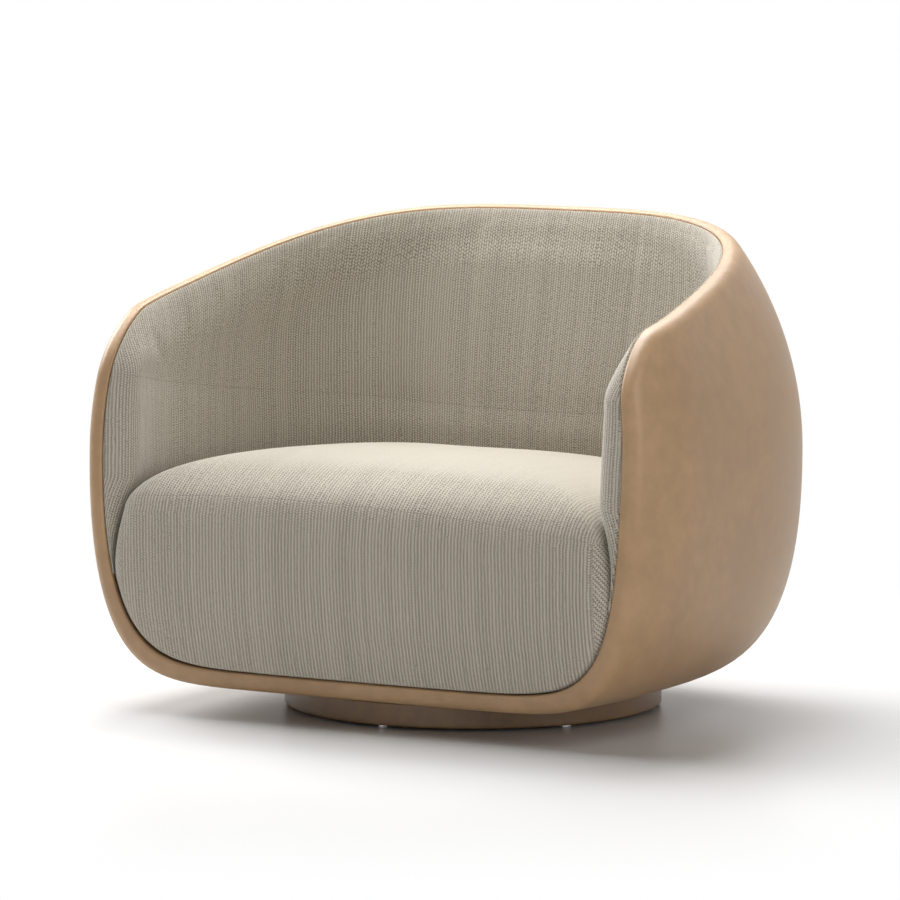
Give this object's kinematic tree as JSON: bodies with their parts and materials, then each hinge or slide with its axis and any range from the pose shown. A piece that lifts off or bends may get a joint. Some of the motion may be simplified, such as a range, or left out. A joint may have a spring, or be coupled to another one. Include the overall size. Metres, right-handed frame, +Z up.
{
  "type": "swivel lounge chair",
  "caption": "Low tub lounge chair: a rounded leather shell lined with a woven-fabric arm-and-back pad and a tight seat, turning on a ball-bearing swivel in a round plinth.",
  "frame": {"origin": "on the floor, on the swivel axis, under the middle of the chair's plan", "axes": "+Z up the swivel axis; the seat opens towards -Y; +X is on the right of someone who faces the chair"},
  "size_m": [1.014, 0.7456, 0.7454],
  "materials": {
    "shell_leather": "smooth tan leather, satin",
    "plinth_leather": "dark brown leather, satin",
    "woven_fabric": "coarse ribbed weave, warm grey-beige",
    "moulded_ply": "moulded plywood, raw",
    "frame_wood": "sawn beech and plywood, raw",
    "webbing": "elastic webbing",
    "steel": "pressed steel, zinc plated",
    "bright_steel": "bright steel",
    "cage_plastic": "natural nylon"
  },
  "bodies": {
    "base": {"plinth_wrap": "plinth_leather", "plinth_drum": "frame_wood", "plinth_board": "frame_wood", "glide_1": "bright_steel", "glide_2": "bright_steel", "glide_3": "bright_steel", "glide_4": "bright_steel", "glide_5": "bright_steel", "glide_6": "bright_steel", "swivel_lower_plate": "steel", "lower_screw_1": "bright_steel", "lower_screw_2": "bright_steel", "lower_screw_3": "bright_steel", "lower_screw_4": "bright_steel"},
    "bearing": {"ball_cage": "cage_plastic", "ball_1": "bright_steel", "ball_2": "bright_steel", "ball_3": "bright_steel", "ball_4": "bright_steel", "ball_5": "bright_steel", "ball_6": "bright_steel", "ball_7": "bright_steel", "ball_8": "bright_steel", "ball_9": "bright_steel", "ball_10": "bright_steel", "ball_11": "bright_steel", "ball_12": "bright_steel"},
    "seat": {"swivel_upper_plate": "steel", "upper_screw_1": "bright_steel", "upper_screw_2": "bright_steel", "upper_screw_3": "bright_steel", "upper_screw_4": "bright_steel", "saddle_block": "frame_wood", "leather_cover": "shell_leather", "moulded_shell": "moulded_ply", "left_bearer": "frame_wood", "right_bearer": "frame_wood", "seat_board": "frame_wood", "front_rail": "frame_wood", "back_rail": "frame_wood", "left_rail": "frame_wood", "right_rail": "frame_wood", "front_left_block": "frame_wood", "back_left_block": "frame_wood", "front_right_block": "frame_wood", "back_right_block": "frame_wood", "long_strap_1": "webbing", "long_strap_2": "webbing", "long_strap_3": "webbing", "long_strap_4": "webbing", "cross_strap_1": "webbing", "cross_strap_2": "webbing", "cross_strap_3": "webbing", "arm_and_back_pad": "woven_fabric", "seat_cushion": "woven_fabric"}
  },
  "joints": [
    {"name": "seat_swivel", "type": "hinge", "parent": "base", "child": "seat", "pos_m": [0, 0, 0.0357], "axis": [0, 0, 1], "continuous": true},
    {"name": "bearing_roll", "type": "hinge", "parent": "base", "child": "bearing", "pos_m": [0, 0, 0.0357], "axis": [0, 0, 1], "continuous": true}
  ],
  "couplings": [
    {"joint": "bearing_roll", "follows": "seat_swivel", "ratio": 0.5}
  ]
}
